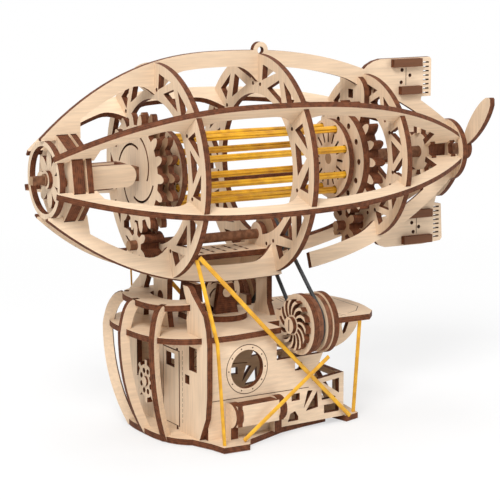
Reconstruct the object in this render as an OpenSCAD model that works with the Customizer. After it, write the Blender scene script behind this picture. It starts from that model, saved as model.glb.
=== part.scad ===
// Mechanical airship model, cut from plywood sheet and slotted together.
// X runs from nose to tail, -Y is the side that is seen first, +Z is up.
// The floor plate's underside lies on Z = 0 and the middle ring on X = 0.

/* [Sheet and fits] */
// Thickness of the plywood that the flat pieces are cut from
ply = 3; // [2.9:0.05:3.1]
// Gap between a slot's wall and the sheet in it
slot_gap = 0.05; // [0.02:0.01:0.08]
// Gap round a shaft that turns in its bore
run_gap = 0.08; // [0.04:0.01:0.1]
// Gap between a belt and what it passes
belt_gap = 0.3; // [0.25:0.05:0.4]

/* [Hull ribs] */
// Height of the hull's axis over the floor's underside
axis_h = 132.5; // [131.5:0.5:133.5]
// Largest distance of a rib's outer edge from the axis
hull_r_max = 58.2; // [57.8:0.1:58.6]
// Place along X where the hull is widest
peak_x = -22; // [-24:0.5:-20]
// Length from the widest place to where the nose curve meets the axis
nose_run = 118.1; // [117:0.1:119]
// Length from the widest place to where the tail curve meets the axis
tail_run = 155.6; // [154:0.2:157]
// Fullness of the nose curve
nose_power = 2.39; // [2.3:0.01:2.5]
// Fullness of the tail curve
tail_power = 2.48; // [2.4:0.01:2.6]
// Front end of the ribs
nose_end = -121; // [-122:0.5:-120]
// Rear end of the ribs
tail_end = 115.5; // [115:0.5:117]
// Depth of a rib between the rings
rib_w = 8; // [7:0.5:9]
// Turn from one rib to the next, seven ribs with a wider gap at the keel
rib_step = 53.53; // [53:0.1:54]
// Extra depth of a rib where it crosses a ring
gusset_deep = 10; // [8:0.5:11]
// Length of that deeper stretch to each side of the ring
gusset_len = 15; // [12:0.5:17]
// Distance from the axis to the nose web's inner edge
nose_web_r = 19; // [18.5:0.1:19.5]
// Rear limit of the nose web
nose_web_x = -100.3; // [-101:0.1:-100]
// Distance from the axis to the tail web's inner edge
tail_web_r = 10; // [9.5:0.1:10.5]
// Front limit of the tail web
tail_web_x = 96; // [95:0.5:97]
// Rear end of the front keel pieces
keel_front_end = 1.5; // [1.5:0.1:2]
// Front end of the rear keel pieces
keel_rear_start = 19.6; // [19:0.2:21]
// Radius of the hanging hole at the top of the middle ring
hang_r = 1.8; // [1.5:0.1:2]

/* [Rings] */
// Middle of the front ring along X
ring_front_x = -58.5; // [-59:0.1:-58]
// Middle of the rear ring along X
ring_rear_x = 63.5; // [63:0.1:64]
// Outer radius of the front ring
ring_front_r = 53.9; // [53.5:0.1:54.2]
// Outer radius of the middle ring
ring_mid_r = 56; // [55.6:0.1:56.4]
// Outer radius of the rear ring
ring_rear_r = 43; // [42.7:0.1:43.3]
// Inner radius of the front and middle rings
ring_in_r = 36; // [35.5:0.1:36.5]
// Inner radius of the rear ring
ring_rear_in_r = 25; // [24.6:0.1:25.4]
// Bar between a ring's edge and its outer windows
rim_bar = 4.6; // [4.2:0.1:5]
// Bar between a ring's inner edge and the middle window
inner_bar = 4.8; // [4.5:0.1:5.2]
// Radius of the peg holes beside each rib
peg_r = 1; // [0.8:0.1:1.1]
// Distance of a peg hole from the rib's middle plane
peg_side = 3.6; // [3.4:0.1:3.8]
// Half the angle that the middle window's base spans
bay_mid = 11.6; // [11:0.1:12]
// Angle from the bay's middle to the outer windows' far corners
bay_foot = 19.5; // [19:0.1:20]
// Angle from the bay's middle to the outer windows' near corners
bay_in = 4.6; // [4.2:0.1:5]
// Depth of the outer windows
bay_deep = 8; // [7.5:0.1:8.2]
// Distance of the middle window's point inside the outer windows' edge
bay_point = 1.8; // [1.5:0.1:2.2]

/* [Nose and tail] */
// Front face of the nose hoop
nose_hoop_x = -119.5; // [-120:0.1:-119]
// Inner radius of the nose hoop
nose_hoop_in = 16.4; // [16:0.1:16.8]
// Front face of the double nose plate
nose_plate_x = -113; // [-113.5:0.1:-112.8]
// Front face of the rear nose plate
nose_back_x = -105.5; // [-106:0.1:-105]
// Half the width of the nose plates' short edges at the ribs
lobe_gap = 2; // [1.8:0.1:2.4]
// Reach of a petal of the nose fan
petal_r = 14; // [13.5:0.1:14.3]
// Depth of the ribs' notches that the plates sit in
notch = 2.5; // [2:0.1:3]
// Width over the two cheeks of the shaft box
box_w = 13; // [12.8:0.1:13.5]
// Depth of those cheeks
box_h = 11.3; // [11:0.1:11.6]
// Rear end of the shaft box
box_end = -73; // [-74:0.1:-72.5]
// Outer radius of the tail hoop
tail_hoop_r = 16.5; // [16:0.1:17]
// Outside size of the square tail box
tail_box_w = 13.6; // [13:0.1:13.9]

/* [Fins] */
// Upper edge of the upper fin over the axis
fin_top = 50.3; // [50:0.1:50.6]
// Lower edge of the lower fin under the axis
fin_low = 50; // [49.6:0.1:50.3]
// Depth of the battens
batten_h = 4.2; // [3.8:0.1:4.6]
// Slots along the rear edge of each fin
ticks = 8; // [8:1:8]

/* [Brackets in the hull] */
// Front face of the plate with the key socket
cap_x = 58.2; // [58.1:0.1:58.4]
// Distance of the socket from the middle plane
socket_y = 5; // [4.8:0.1:5.2]
// Height of the socket over the axis
socket_z = 32.5; // [32.2:0.1:32.7]
// Radius of the socket
socket_r = 5.7; // [5.4:0.1:5.7]
// Height over the axis at which plate and top rib lap
cap_lap = 39.8; // [39.6:0.1:40]
// Half the width of the keel board
board_half = 11; // [10:0.2:11.4]
// Drop of the keel board's top below the layshaft
board_drop = 6; // [5.8:0.1:6.5]

/* [Gears] */
// Tooth size: pitch diameter over number of teeth
module_mm = 3; // [2.98:0.01:3.02]
// Teeth of the large gears
gear_teeth = 18; // [18:1:18]
// Teeth of the small gears
pinion_teeth = 6; // [6:1:6]
// Play between teeth at the pitch circle
tooth_play = 0.9; // [0.7:0.1:1.1]
// Radius of the main shafts
shaft_r = 3; // [2.9:0.05:3.1]
// Radius of the layshaft and the nacelle axles
axle_r = 2.5; // [2.4:0.05:2.6]
// Front end of the layshaft
lay_front = -74.5; // [-75:0.1:-74]
// Rear end of the layshaft
lay_back = 16; // [15.5:0.1:16.5]
// Angle that a curved slot in a large gear runs through
slot_sweep = 90; // [85:1:95]
// Width of such a slot
slot_w = 1.2; // [1:0.1:1.5]
// Radius of the winding pinion, whose teeth are trimmed to clear the keel ribs
winding_r = 11.1; // [11:0.1:11.1]
// Front face of the front drive gear
gear_x = -70; // [-70.5:0.1:-69.9]
// Front face of the rear gear
rear_gear_x = 51.3; // [51:0.1:51.5]

/* [Rubber motor] */
// Front face of the front band disc
band_front_x = -55; // [-55.5:0.1:-54]
// Front face of the rear band drum
band_rear_x = 41.5; // [41:0.1:42]
// Radius of the circle that the band bundles lie on
band_ring_r = 17; // [16.5:0.1:17.3]
// Radius of one bundle of bands
bundle_r = 2; // [1.8:0.1:2.2]
// Bundles round the circle
bundles = 8; // [8:1:8]
// Radius of the band discs
band_disc_r = 20.5; // [20:0.1:21]
// Radius of the drum's second ring
drum_ring_r = 24.5; // [24:0.1:25]

/* [Propeller] */
// Front face of the propeller
prop_x = 126; // [125.5:0.1:127]
// Reach of a blade from the axis
prop_r = 38; // [36:0.5:40]
// Widest place of a blade
blade_w = 9; // [8:0.5:10]
// Turn of the blades from upright towards the near side
blade_turn = 40.5; // [35:0.5:45]

/* [Belts and nacelles] */
// Middle of the near belt along X
belt_near_x = 6.5; // [6.3:0.1:6.6]
// Middle of the far belt along X
belt_far_x = 10.7; // [10.6:0.1:10.9]
// Radius of the belt itself
belt_r = 1; // [0.9:0.05:1.05]
// Radius of the belt's middle line on the hull pulley
hull_belt_r = 9; // [8.8:0.1:9.2]
// Radius of the belt's middle line on a nacelle pulley
nacelle_belt_r = 12; // [11.8:0.1:12.1]
// Distance of a nacelle's axle from the middle plane
nacelle_y = 40.6; // [40:0.1:41.2]
// Height of a nacelle's axle
nacelle_z = 56.5; // [56.3:0.1:56.8]
// Radius of a nacelle fan
fan_r = 12.8; // [12.5:0.1:13.2]
// Radius of the rims of a nacelle's belt drum
nacelle_rim_r = 14.6; // [14.2:0.1:15]
// Curved spokes of a nacelle fan, free at their ends
fan_spokes = 14; // [14:1:14]
// Front face of the hull pulley
hull_pulley_x0 = 3.4; // [3.3:0.1:3.6]
// Rear face of the hull pulley
hull_pulley_x1 = 13.8; // [13.6:0.1:14]
// Gap between a nacelle's drum and its bearing plates
side_gap = 0.5; // [0.4:0.1:0.6]
// Width of a drum's rim
rim_w = 2.5; // [2.4:0.1:2.6]
// Radius of the bearing plates
plate_r = 15.4; // [15.2:0.1:15.6]
// Depth to which the bearing plates reach over the deck
lap_in = 3; // [2.5:0.1:3.5]

/* [Decks and floor] */
// Top face of the main deck
deck_top = 55; // [54.8:0.1:55.1]
// Top face of the small upper deck
upper_top = 69.5; // [69:0.1:70]
// Middle of the decks' and the floor's bows along X
bow_x = -36; // [-36.5:0.1:-35.5]
// Length and half width of the main deck's bow
deck_bow = [41, 40.3]; // [40:0.1:42]
// Length and half width of the floor's bow
floor_bow = [31.5, 36.5]; // [31:0.1:37]
// Length and half width of the upper deck, from its own middle
upper_bow = [24, 27]; // [23.5:0.1:27.5]
// Fullness of the three bows
bow_power = 3; // [2.9:0.1:3.1]
// Middle of the upper deck along X
upper_x = -48; // [-48.4:0.1:-47.6]
// Width of the upper deck's curved strip
upper_w = 13; // [12:0.5:14]
// Half width of the main deck in front of the nacelles
deck_waist = 36.2; // [36:0.1:36.5]
// Front end of the deck's notches for the nacelles
notch_x0 = -8; // [-8.5:0.1:-7.5]
// Rear end of those notches
notch_x1 = 22; // [21.6:0.1:22.5]
// Half the width of the deck between those notches
deck_half = 22; // [21.5:0.1:22.2]
// Half the width of the deck behind them
deck_rear = 31; // [30.5:0.1:31.5]
// Rear end of the main deck
deck_end = 58; // [57:0.5:59]

/* [Cabin] */
// Middle of the bulkhead along X
bulkhead_x = -53; // [-53.2:0.1:-52.8]
// Turn of the side bow ribs from the centre rib
bow_rib_turn = 34; // [33:0.5:35]
// Depth of a bow rib
rib_side = 5; // [4.6:0.1:5.4]
// Outer face of a side panel's front edge from the middle plane
side_y = 38.9; // [38.6:0.1:39]
// Angle at which the side panels close in towards the rear
side_turn = 5.7; // [5.5:0.1:5.9]
// Distance of the porthole's middle behind the bulkhead
port_u = 23.8; // [23.4:0.1:24.2]
// Height of the porthole's middle
port_z = 36; // [35.6:0.1:36.4]
// Radius of the porthole
port_r = 9.8; // [9.5:0.1:10]
// Height to which the panels reach beside the nacelles
sill_z = 38; // [37.8:0.1:38.2]
// Length of a side panel with its truss
side_len = 84.6; // [84.4:0.1:84.8]
// Upper edge of the truss at its front and rear end
truss_z = [24.2, 26.2]; // [24:0.1:26.5]
// Near and far edges of the door from the middle plane
door_y = [-14.5, 2]; // [-15:0.1:2.2]
// Upper edge of the bulkhead's opening
door_z1 = 42; // [41.5:0.1:42.5]
// Gap round the door
door_gap = 0.5; // [0.4:0.1:0.6]
// Radius of the door's two hinge pins
hinge_r = 1; // [0.95:0.05:1.1]
// Outer radius of the helm wheel
helm_r = 11; // [10:0.5:12]
// Distance of the helm wheel's axle from the middle plane
helm_y = 8; // [7.8:0.1:8.2]
// Height of that axle
helm_z = 24.5; // [24.3:0.1:24.7]
// Middle of the helm wheel along X
helm_x = -60; // [-60.5:0.1:-59.5]
// Front and rear end of the tank, measured along the side panel
tank_u = [10.5, 41.5]; // [10:0.1:42]
// Thickness of the tank's rounded ends
tank_end = 4.5; // [4.2:0.1:4.8]
// Radius of the tank's rounded ends
tank_r = 6.3; // [6:0.1:6.4]
// Height of the tank's middle
tank_z = 15; // [14.8:0.1:15.2]
// Distance of the rounding's middle from the side panel
tank_out = 3.5; // [3.3:0.1:3.6]

/* [Between hull and gondola] */
// Front face of the front pillar
pillar_x = -57; // [-57.1:0.1:-56.9]
// Height of the front pillar
pillar_h = 32.5; // [32:0.1:33]
// Height of the rear strut
strut_h = 26.5; // [26:0.1:27]
// Half the width of the rear strut
strut_half = 5.6; // [5.2:0.1:6]
// Middle of the spoked wheel along X
wheel_x = -22; // [-22.5:0.1:-21.5]
// Height of the spoked wheel's axle over the deck
wheel_up = 13.9; // [13.7:0.1:14.1]
// Radius of the spoked wheel
wheel_r = 9.8; // [9.5:0.1:10]
// Radius of the round base under the spoked wheel
base_r = 13; // [12.5:0.1:13.5]
// Front face of the truss plate behind the side panels
cross_x = 29.6; // [29.5:0.1:29.7]
// Distance of the two rounded plates under the deck from the middle plane
fairing_y = 6.4; // [6:0.1:6.8]
// Front end of their rounded part
fairing_x = 36; // [35.5:0.1:36.5]
// Depth of those plates
fairing_h = 19; // [18:0.1:20]
// Width and thickness of the yellow stays
stay = [2.4, 1]; // [0.9:0.1:2.5]

/* [Hidden] */
gear_pitch_r = module_mm * gear_teeth / 2;
pinion_pitch_r = module_mm * pinion_teeth / 2;
lay_z = axis_h - gear_pitch_r - pinion_pitch_r;
half = ply / 2;
wood = [0.86, 0.74, 0.56];
dark = [0.42, 0.24, 0.13];
yellow = [0.95, 0.72, 0.1];
black = [0.1, 0.1, 0.11];
rings_x = [ring_front_x, 0, ring_rear_x];
nose_notches = [nose_plate_x, nose_plate_x + ply, nose_back_x];
tail_box_front = 98;
tail_disc_x = 110.5;
tail_notches = [tail_box_front, tail_disc_x];
floor_top = ply;
deck_under = deck_top - ply;
upper_under = upper_top - ply;
nose_corner_r = nose_web_r + notch - 0.2;
box_front = nose_back_x + ply;
board_z = lay_z - axis_h - board_drop;
drum_half = belt_r + belt_gap + rim_w;
wheel_z = deck_top + wheel_up;
lug_r = hang_r + 2.4;
pad_r = 6;
bearing_r = 7;
tail_hoop_w = 4;
tail_arm_w = 5;
// Distance from the main deck's middle to the upper deck's edge along the outer bow ribs
upper_side_reach = 37.7;
// Six vents across the deck behind its middle
vent_x = 20;
vent_step = 2.6;
vent_w = 1.2;
vent_half = 6;
// The plate before the spoked wheel, and the cheeks beside it
screen_x = -41;
cheek_y = 4;
// Gap between the tank's ends and the side panel, and the width of its feet
tank_gap = 0.3;
tank_foot = 4.5;
cross_half = side_y - ply - tan(side_turn) * (cross_x + ply - bulkhead_x - half) - 0.1;

// A flat shape drawn in Y and Z, standing across the hull from x0 backwards.
module plate_x(x0, t = ply)
    translate([x0, 0, 0]) rotate([90, 0, 90]) linear_extrude(t) children();

// A flat shape drawn in X and Z, standing along the hull with its middle on y0.
module plate_y(y0, t = ply)
    translate([0, y0 + t / 2, 0]) rotate([90, 0, 0]) linear_extrude(t) children();

// A flat shape drawn in X and Y, lying with its underside on z0.
module plate_z(z0, t = ply)
    translate([0, 0, z0]) linear_extrude(t) children();

// A round bar or disc along X.
module bar_x(x0, x1, r, y = 0, z = axis_h)
    translate([x0, y, z]) rotate([0, 90, 0]) cylinder(h = x1 - x0, r = r);

// Ribs

function hull_r(x) = x < peak_x
    ? hull_r_max * (1 - pow((peak_x - x) / nose_run, nose_power))
    : hull_r_max * (1 - pow((x - peak_x) / tail_run, tail_power));
function gusset_at(x, i) = (i == 2 ? 0.35 : 1) * gusset_deep
    * pow(max(0, 1 - abs(x - rings_x[i]) / gusset_len), 2);
function gusset(x) = max([for (i = [0 : 2]) gusset_at(x, i)]);
function rib_in(x) = x < nose_web_x ? nose_web_r
    : x > tail_web_x ? tail_web_r : hull_r(x) - rib_w - gusset(x);
function steps(a, b, n) = [for (i = [0 : n]) a + (b - a) * i / n];

// The whole area under a rib's outer edge, in X and distance from the axis.
module under_rib(lug = [])
    polygon(concat([[nose_end, 0]],
        [for (x = steps(nose_end, -lug_r, 21)) [x, hull_r(x)]], lug,
        [for (x = steps(lug_r, tail_end, 21)) [x, hull_r(x)]], [[tail_end, 0]]));
lug_arc = [for (a = steps(180, 0, 12)) [lug_r * cos(a), hull_r(0) + lug_r * sin(a)]];

// One rib's outline between x0 and x1.
module rib_outline(x0, x1, lug = []) {
    difference() {
        intersection() {
            under_rib(lug);
            translate([x0, 0]) square([x1 - x0, hull_r_max + 2 * lug_r]);
        }
        rib_hollow();
        rib_slots();
    }
}

// What lies between the rib's inner edge and the axis.
module rib_hollow()
    polygon(concat([[nose_end - 1, -1], [nose_end - 1, nose_web_r], [nose_web_x, nose_web_r]],
        [for (x = steps(nose_web_x + 0.01, tail_web_x - 0.01, 80)) [x, rib_in(x)]],
        [[tail_web_x, tail_web_r], [tail_end + 1, tail_web_r], [tail_end + 1, -1]]));

// Half-lap slots for the rings, and notches for the nose and tail plates.
module rib_slots() {
    for (i = [0 : 2])
        translate([rings_x[i] - half - slot_gap, 0])
            square([ply + 2 * slot_gap, lap_r(i)]);
    for (x = nose_notches)
        translate([x - slot_gap, 0]) square([ply + 2 * slot_gap, nose_web_r + notch + slot_gap]);
    for (x = tail_notches)
        translate([x - slot_gap, 0]) square([ply + 2 * slot_gap, tail_web_r + notch + slot_gap]);
}

function ring_r(i) = [ring_front_r, ring_mid_r, ring_rear_r][i];
function lap_r(i) = ring_r(i) - rib_w / 2;

module rib(k, x0 = nose_end, x1 = tail_end)
    color(wood) translate([0, 0, axis_h]) rotate([k * rib_step, 0, 0])
        plate_y(0) rib_outline(x0, x1);

// The top rib has a lug with a hanging hole over the middle ring.
module rib_top()
    color(wood) translate([0, 0, axis_h]) plate_y(0) difference() {
        rib_outline(nose_end, tail_end, lug_arc);
        translate([0, hull_r(0)]) circle(hang_r);
        translate([cap_x - slot_gap, 0])
            square([ply + 2 * slot_gap, cap_lap + slot_gap]);
    }
module rib_upper_near() rib(1);
module rib_upper_far() rib(-1);
module rib_lower_near() rib(2);
module rib_lower_far() rib(-2);
module keel_rib_near_front() rib(3, nose_end, keel_front_end);
module keel_rib_near_rear() rib(3, keel_rear_start);
module keel_rib_far_front() rib(-3, nose_end, keel_front_end);
module keel_rib_far_rear() rib(-3, keel_rear_start);

// Rings

// A ring's outline in Y and distance from the axis, with its windows and slots.
module ring_outline(i, r_in) {
    r = ring_r(i);
    difference() {
        circle(r);
        difference() {
            circle(r_in);
            children(0);
        }
        for (k = [-3 : 3]) rotate(k * rib_step)
            translate([-half - slot_gap, lap_r(i)]) square([ply + 2 * slot_gap, r]);
        for (k = [-3 : 2]) rotate((k + 0.5) * rib_step) bay(r, r_in);
        for (k = [-3 : 3], s = [-1, 1]) rotate(k * rib_step)
            translate([s * peg_side, r_in + inner_bar]) circle(peg_r);
    }
}

function polar(a, r) = [r * sin(a), r * cos(a)];

// Three triangular windows between two ribs: the middle one points outwards.
module bay(r, r_in) {
    polygon([polar(-bay_mid, r_in + inner_bar), polar(bay_mid, r_in + inner_bar),
        [0, r - rim_bar - bay_point]]);
    for (s = [-1, 1])
        polygon([polar(s * bay_foot, r - rim_bar), polar(s * bay_in, r - rim_bar),
            polar(s * bay_foot, r - rim_bar - bay_deep)]);
}

// A plate with a bore for the layshaft, in the gap at the keel.
module lay_pad(r_pad)
    translate([0, lay_z - axis_h]) circle(r_pad);

module ring_front()
    color(wood) translate([0, 0, axis_h]) plate_x(ring_front_x - half) difference() {
        ring_outline(0, ring_in_r) lay_pad(pad_r);
        translate([0, lay_z - axis_h]) circle(axle_r + run_gap);
    }

module ring_middle()
    color(wood) translate([0, 0, axis_h]) plate_x(-half) difference() {
        ring_outline(1, ring_in_r) lay_pad(pad_r);
        translate([0, lay_z - axis_h]) circle(axle_r + run_gap);
    }

// The rear ring also carries the rear shaft's bearing on three arms.
module ring_rear()
    color(wood) translate([0, 0, axis_h]) plate_x(ring_rear_x - half) difference() {
        ring_outline(2, ring_rear_in_r) union() {
            circle(bearing_r);
            for (a = [0, 120, 240]) rotate(a) translate([-3, 0]) square([6, ring_rear_in_r + 1]);
        }
        circle(shaft_r + run_gap);
        translate([0, lay_z - axis_h]) circle(axle_r + run_gap);
    }

// Nose and tail

// A round plate whose seven arms sit in the ribs' notches.
module star(r, reach, w) {
    circle(r);
    for (k = [-3 : 3]) rotate(k * rib_step)
        translate([-w / 2, 0]) square([w, reach]);
}

module nose_hoop()
    color(wood) translate([0, 0, axis_h]) plate_x(nose_hoop_x) difference() {
        circle(nose_web_r - slot_gap);
        circle(nose_hoop_in);
    }

module nose_plates()
    color(wood) translate([0, 0, axis_h]) {
        plate_x(nose_plate_x, 2 * ply) nose_plate();
        plate_x(nose_back_x) nose_plate();
    }

// A plate with a straight edge in each bay and a short one in each rib's notch.
module nose_plate()
    difference() {
        polygon([for (k = [-3 : 3], s = [1, -1])
            polar(k * rib_step - s * asin(lobe_gap / nose_corner_r), nose_corner_r)]);
        circle(shaft_r + run_gap);
    }

// Two cheeks beside the front shaft, joined behind by a rounded bearing plate.
module shaft_box()
    color(wood) translate([0, 0, axis_h]) {
        for (s = [-1, 1]) plate_y(s * (box_w - ply) / 2) union() {
            translate([box_front, -box_h / 2])
                square([box_end - box_h / 2 - box_front, box_h]);
            translate([box_end - box_h / 2, 0]) circle(box_h / 2);
        }
        plate_x(box_end - box_h / 2 - half) difference() {
            square([box_w - 2 * ply, box_h], center = true);
            circle(shaft_r + run_gap);
        }
    }

// Two star plates with a square tube between them round the rear shaft.
module tail_box()
    color(wood) translate([0, 0, axis_h]) {
        plate_x(tail_box_front) tail_plate();
        plate_x(tail_disc_x) tail_plate();
        plate_x(tail_box_front + ply, tail_disc_x - tail_box_front - ply) difference() {
            square(tail_box_w, center = true);
            square(tail_box_w - 2 * ply, center = true);
        }
    }
module tail_plate()
    difference() {
        star(tail_web_r - slot_gap, tail_web_r + notch, tail_arm_w);
        circle(shaft_r + run_gap);
    }

module tail_hoop()
    color(wood) translate([0, 0, axis_h]) plate_x(tail_end) difference() {
        circle(tail_hoop_r);
        circle(tail_hoop_r - tail_hoop_w);
    }

// Fins

module fin_upper()
    color(wood) translate([0, 0, axis_h]) plate_y(0) difference() {
        polygon([[61.2, 30], [61.2, 44.5], [64, 47.3], [68, 49.3], [72.5, fin_top],
            [103.5, fin_top], [104.5, fin_top - 1.3], [104.5, 29.5], [98.5, 29.5], [97, 20]]);
        under_rib();
        for (p = [[86, 44], [91, 41], [85.5, 37.5]]) translate(p) circle(peg_r);
        tick_slots(99.4, 31);
    }

// Short slots one over the other along a fin's rear edge.
module tick_slots(x, z)
    for (k = [0 : ticks - 1]) translate([x, z + 2.3 * k]) square([3.6, 0.8]);

// The lower fin hangs from the tail box between the keel ribs.
module fin_lower()
    color(wood) translate([0, 0, axis_h]) plate_y(0) difference() {
        polygon([[72, -40], [69.5, -45], [72.5, -48.3], [76.5, -49.8], [100, -fin_low],
            [112, 1 - fin_low], [113.2, 2.5 - fin_low], [112.2, -29], [108, -28.3],
            [109.9, -22], [109.9, -tail_box_w / 2], [101.5, -tail_box_w / 2], [101.5, -22],
            [92, -30], [80, -36]]);
        for (p = [[93.5, -38], [98, -40.5], [94.5, -43]]) translate(p) circle(peg_r);
        tick_slots(107.4, -47);
    }

// Battens on both faces of the fins.
module fin_battens()
    color(dark) for (s = [-1, 1]) translate([0, s * ply, axis_h]) plate_y(0) {
        translate([79, fin_top - 0.4 - batten_h]) square([18, batten_h]);
        translate([84, 31.2]) square([13, batten_h]);
        translate([87, -31 - batten_h]) square([18, batten_h]);
        translate([87, 1 - fin_low]) square([18, batten_h]);
    }

// Brackets inside the hull

// A plate in front of the rear ring that holds the socket for the winding key.
module cap_plate()
    color(wood) translate([0, 0, axis_h]) plate_x(cap_x) difference() {
        polygon(concat([[-8, 26], [15.5, 26], [15.5, 40.5], [14, 42]],
            [for (a = steps(0, 90, 8)) [1 - 9 * sin(a), 33 + 9 * cos(a)]]));
        translate([socket_y, socket_z]) circle(socket_r);
        translate([-half - slot_gap, cap_lap]) square([ply + 2 * slot_gap, 20]);
    }

module key_socket()
    color(wood) translate([0, 0, axis_h]) plate_x(cap_x) translate([socket_y, socket_z])
        difference() {
            circle(socket_r);
            square(4.6, center = true);
        }

// A crossed bracket behind the rear ring under the top rib.
module cross_bracket()
    color(wood) translate([0, 0, axis_h]) plate_x(ring_rear_x + half) difference() {
        translate([0, 31]) union() {
            for (s = [-1, 1]) rotate(s * 40) translate([-2.5, -12]) square([5, 22]);
            circle(6.5);
        }
        circle(ring_rear_in_r - 1);
        translate([-half - slot_gap, 31]) square([ply + 2 * slot_gap, 20]);
    }

// A bracket behind the rear ring that steadies the winding pinion's shaft.
module hook_bracket()
    color(wood) translate([0, 0, axis_h]) plate_x(ring_rear_x + half) difference() {
        translate([0, lay_z - axis_h]) union() {
            circle(6);
            translate([-3, -10]) square([6, 10]);
            translate([-3, -10]) square([11, 3.5]);
            translate([-8, 3]) square([8, 3.5]);
        }
        translate([0, lay_z - axis_h]) circle(axle_r + run_gap);
    }

// A level board along the keel between the front and middle rings, with rows of slots.
module keel_boards()
    color(wood) translate([0, 0, axis_h]) plate_z(board_z - ply) difference() {
        translate([ring_front_x + half, -board_half])
            square([-half - ring_front_x - half, 2 * board_half]);
        for (k = [0 : 6], y = [-7.5, -2, 3.5]) translate([-50 + 6.4 * k, y]) square([1.6, 4]);
    }

// Gears

// A toothed wheel's outline; play widens every gap between teeth.
module gear_outline(n) {
    rp = module_mm * n / 2;
    rt = rp + 0.85 * module_mm;
    rm = rp + 0.5 * module_mm;
    rr = rp - 1.1 * module_mm;
    hp = (PI * module_mm - tooth_play) / 4 / rp * 180 / PI;
    ht = 0.2 * module_mm / rt * 180 / PI;
    hr = min(hp * 1.3, 162 / n);
    polygon([for (k = [0 : n - 1], p = [[rr, -hr], [rp, -hp], [rm, -(hp + ht) / 2], [rt, -ht],
        [rt, ht], [rm, (hp + ht) / 2], [rp, hp], [rr, hr]])
            p[0] * [cos(k * 360 / n + p[1]), sin(k * 360 / n + p[1])]]);
}

// Curved slots round the hub of the spoked wheel.
module arc_slots(r0, r1, n, turn) {
    for (k = [0 : n - 1]) rotate(k * 360 / n)
        polygon(concat([for (t = steps(0, 1, 6)) (r0 + (r1 - r0) * t) * [cos(turn * t), sin(turn * t)]],
            [for (t = steps(1, 0, 6)) (r0 + (r1 - r0) * t)
                * [cos(turn * t + 9 + 6 * t), sin(turn * t + 9 + 6 * t)]]));
}

// Four narrow slots that wind inwards on a large gear.
module spiral_slots(r_out, r_in)
    for (k = [0 : 3]) rotate(12 + 90 * k)
        polygon(concat([for (t = steps(0, 1, 12)) spiral(r_out + slot_w / 2, r_in + slot_w / 2, t)],
            [for (t = steps(1, 0, 12)) spiral(r_out - slot_w / 2, r_in - slot_w / 2, t)]));
function spiral(a, b, t) = (a + (b - a) * t) * [cos(slot_sweep * t), sin(slot_sweep * t)];

module large_gear(x0, t)
    translate([0, 0, axis_h]) plate_x(x0, t) difference() {
        gear_outline(gear_teeth);
        circle(shaft_r);
        spiral_slots(19, 12.3);
    }

module drive_gear_front() color(wood) large_gear(gear_x, ply);
module drive_gear_back()
    color(dark) {
        large_gear(gear_x + 2 * ply, ply);
        translate([0, 0, axis_h]) plate_x(gear_x + ply) difference() {
            circle(8);
            circle(shaft_r);
        }
    }
module rear_gear() color(wood) large_gear(rear_gear_x, 2 * ply);

// The front shaft is square where it leaves the nose and in front of the gear.
module front_shaft()
    color(dark) {
        bar_x(nose_hoop_x, band_front_x + ply, shaft_r);
        translate([0, 0, axis_h]) {
            plate_x(nose_hoop_x - 6.5, 6.5) square(4, center = true);
            plate_x(box_end + 0.5, gear_x - box_end - 0.5) square(7, center = true);
        }
    }
module rear_shaft() color(dark) bar_x(band_rear_x, prop_x + ply + 1, shaft_r);

// A wheel of leaf-shaped petals inside the nose hoop, with a hub that stands forward.
module nose_fan()
    color(wood) translate([0, 0, axis_h]) {
        plate_x(nose_hoop_x + ply) difference() {
            union() {
                circle(5);
                for (k = [0 : 7]) rotate(k * 45) leaf(3, petal_r, 4.6);
            }
            circle(shaft_r);
        }
        plate_x(nose_hoop_x + 1, 2) difference() {
            circle(4.4);
            circle(shaft_r);
        }
    }

// A disc whose notches hold the loops of the band bundles.
module band_disc(r)
    difference() {
        circle(r);
        circle(shaft_r);
        for (k = [0 : bundles - 1]) rotate((k + 0.5) * 360 / bundles)
            translate([band_ring_r, 0]) circle(bundle_r + 0.2);
        for (k = [0 : 2 * bundles - 1]) rotate(k * 180 / bundles)
            translate([8.5, -slot_w / 2]) square([5.5, slot_w]);
    }

module band_disc_front()
    color(wood) translate([0, 0, axis_h]) plate_x(band_front_x) band_disc(band_disc_r);

module band_drum_rear()
    color(wood) translate([0, 0, axis_h]) {
        plate_x(band_rear_x) band_disc(band_disc_r);
        plate_x(band_rear_x + ply, ply) difference() {
            circle(9);
            circle(shaft_r);
        }
        plate_x(band_rear_x + 2 * ply, rear_gear_x - band_rear_x - 2 * ply) difference() {
            circle(drum_ring_r);
            circle(shaft_r);
            for (k = [0 : 11]) rotate(k * 30) translate([20, 0]) circle(1.5);
        }
    }

// Bundles of yellow rubber bands from disc to drum.
module rubber_bands()
    color(yellow) for (k = [0 : bundles - 1]) {
        a = (k + 0.5) * 360 / bundles;
        bar_x(band_front_x, band_rear_x + ply, bundle_r,
            band_ring_r * cos(a), axis_h + band_ring_r * sin(a));
    }

// A leaf from radius r0 to r1 along Y, at most w wide.
module leaf(r0, r1, w)
    polygon(concat([for (t = steps(0, 1, 16)) [leaf_half(w, t), r0 + (r1 - r0) * t]],
        [for (t = steps(1, 0, 16)) [-leaf_half(w, t), r0 + (r1 - r0) * t]]));
function leaf_half(w, t) = w / 2 * sqrt(max(0, sin(180 * pow(t, 1.15)))) + 0.6;

module propeller()
    color(wood) translate([0, 0, axis_h]) plate_x(prop_x) difference() {
        union() {
            circle(6);
            for (s = [0, 180]) rotate(blade_turn + s) leaf(3, prop_r, blade_w);
        }
        circle(shaft_r);
    }

// Layshaft and pulleys

module layshaft() color(dark) bar_x(lay_front, lay_back, axle_r, 0, lay_z);

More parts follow.
